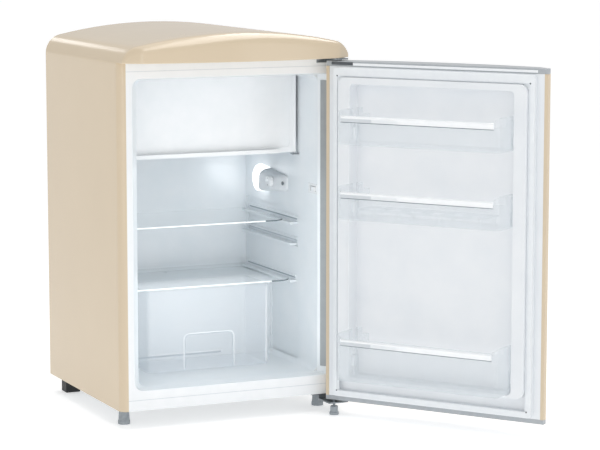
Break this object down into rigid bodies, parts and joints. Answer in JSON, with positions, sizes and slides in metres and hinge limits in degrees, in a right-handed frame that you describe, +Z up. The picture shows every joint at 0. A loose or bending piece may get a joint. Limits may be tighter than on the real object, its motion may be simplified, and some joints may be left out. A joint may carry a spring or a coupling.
{
  "type": "mini fridge",
  "caption": "Retro-style table-top fridge with crowned cabinet, bowed hinged door with bins, glass shelves, crisper, freezer box and cooling circuit.",
  "frame": {"origin": "on the floor under the middle of the whole outline with the door standing open at 125 degrees", "axes": "+Z up, -Y towards the person who opens the door, +X towards the hinge side of the cabinet"},
  "size_m": [0.8573, 0.9791, 0.886],
  "materials": {
    "cream_paint": "satin",
    "white_plastic": "gloss",
    "liner_plastic": "gloss",
    "foam": "matte",
    "zinc_sheet": "satin",
    "zinc_hardware": "satin",
    "bare_aluminium": "satin",
    "shelf_glass": "polished",
    "clear_plastic": "gloss",
    "trim_white": "gloss",
    "grey_cap": "satin",
    "foot_grey": "matte",
    "black_steel": "satin",
    "black_plastic": "matte",
    "copper": "satin",
    "rubber_black": "matte",
    "gasket_rubber": "matte",
    "nylon": "satin",
    "chrome_handle": "polished",
    "lamp_glass": "polished"
  },
  "bodies": {
    "cabinet": {"outer_wrap": "cream_paint", "top_brow": "cream_paint", "front_frame": "white_plastic", "inner_liner": "liner_plastic", "cabinet_foam": "foam", "back_panel": "zinc_sheet", "base_plate": "zinc_sheet", "back_panel_screws": "zinc_hardware", "freezer_box": "bare_aluminium", "freezer_hangers": "nylon", "freezer_front_frame": "white_plastic", "flap_hinge_brackets": "zinc_hardware", "lamp_housing": "liner_plastic", "lamp_lens": "clear_plastic", "lamp_bulb": "lamp_glass", "thermostat_body": "black_plastic", "housing_screw": "zinc_hardware", "lamp_switch_body": "white_plastic", "drain_tube": "liner_plastic", "compressor": "black_steel", "compressor_mounts": "rubber_black", "relay_box": "black_plastic", "evaporation_tray": "black_plastic", "condenser_coil": "black_steel", "condenser_clips": "black_plastic", "filter_drier": "copper", "refrigerant_pipes": "copper", "cord_inlet": "black_plastic", "rear_feet": "black_plastic", "top_hinge": "zinc_hardware", "bottom_hinge": "zinc_hardware", "hinge_screws": "zinc_hardware", "hinge_washer": "nylon"},
    "door": {"door_skin": "cream_paint", "door_top_cap": "grey_cap", "door_bottom_cap": "grey_cap", "door_liner": "liner_plastic", "door_foam": "foam", "door_gasket": "gasket_rubber", "door_bushes": "nylon", "door_handle": "chrome_handle"},
    "freezer_door": {"freezer_flap": "white_plastic"},
    "shelf_a": {"upper_shelf": "shelf_glass"},
    "shelf_b": {"lower_shelf": "shelf_glass"},
    "crisper_box": {"crisper": "clear_plastic"},
    "bin_a": {"top_bin": "clear_plastic", "top_bin_trim": "trim_white"},
    "bin_b": {"middle_bin": "clear_plastic", "middle_bin_trim": "trim_white"},
    "bin_c": {"low_bin": "clear_plastic", "low_bin_trim": "trim_white"},
    "eggs": {"egg_tray": "white_plastic"},
    "knob": {"thermostat_knob": "white_plastic"},
    "lamp_switch": {"lamp_switch_rocker": "white_plastic"},
    "foot_hinge": {"hinge_foot": "foot_grey"},
    "foot_left": {"front_foot_left": "foot_grey"},
    "foot_right": {"front_foot_right": "foot_grey"}
  },
  "joints": [
    {"name": "door_swing", "type": "hinge", "parent": "cabinet", "child": "door", "pos_m": [0.0954, -0.0497, 0.43], "axis": [0, 0, 1], "range_deg": [-125, 5]},
    {"name": "freezer_flap_swing", "type": "hinge", "parent": "cabinet", "child": "freezer_door", "pos_m": [0.0584, 0.1213, 0.683], "axis": [0, 0, 1], "range_deg": [0, 80]},
    {"name": "upper_shelf_slide", "type": "slide", "parent": "cabinet", "child": "shelf_a", "axis": [0, -1, 0], "range_m": [0, 0.2]},
    {"name": "lower_shelf_slide", "type": "slide", "parent": "cabinet", "child": "shelf_b", "axis": [0, -1, 0], "range_m": [0, 0.2]},
    {"name": "crisper_slide", "type": "slide", "parent": "cabinet", "child": "crisper_box", "axis": [0, -1, 0], "range_m": [0, 0.2]},
    {"name": "top_bin_lift", "type": "slide", "parent": "door", "child": "bin_a", "axis": [0, 0, 1], "range_m": [0, 0.03]},
    {"name": "middle_bin_lift", "type": "slide", "parent": "door", "child": "bin_b", "axis": [0, 0, 1], "range_m": [0, 0.03]},
    {"name": "low_bin_lift", "type": "slide", "parent": "door", "child": "bin_c", "axis": [0, 0, 1], "range_m": [0, 0.03]},
    {"name": "egg_tray_lift", "type": "slide", "parent": "bin_b", "child": "eggs", "axis": [0, 0, 1], "range_m": [0, 0.05]},
    {"name": "knob_turn", "type": "hinge", "parent": "cabinet", "child": "knob", "pos_m": [0.0499, 0.2343, 0.512], "axis": [-1, 0, 0], "range_deg": [0, 300]},
    {"name": "lamp_switch_press", "type": "hinge", "parent": "cabinet", "child": "lamp_switch", "pos_m": [0.0744, 0.0503, 0.515], "axis": [0, 0, 1], "range_deg": [0, 7], "stiffness_Nm_per_rad": 0.05},
    {"name": "hinge_foot_screw", "type": "hinge", "parent": "cabinet", "child": "foot_hinge", "pos_m": [0.0784, -0.0557, 0.026], "axis": [0, 0, 1], "range_deg": [0, 360]},
    {"name": "left_foot_screw", "type": "hinge", "parent": "cabinet", "child": "foot_left", "pos_m": [-0.3956, 0.0563, 0.045], "axis": [0, 0, 1], "range_deg": [0, 360]},
    {"name": "right_foot_screw", "type": "hinge", "parent": "cabinet", "child": "foot_right", "pos_m": [0.0884, 0.0563, 0.045], "axis": [0, 0, 1], "range_deg": [0, 360]}
  ]
}
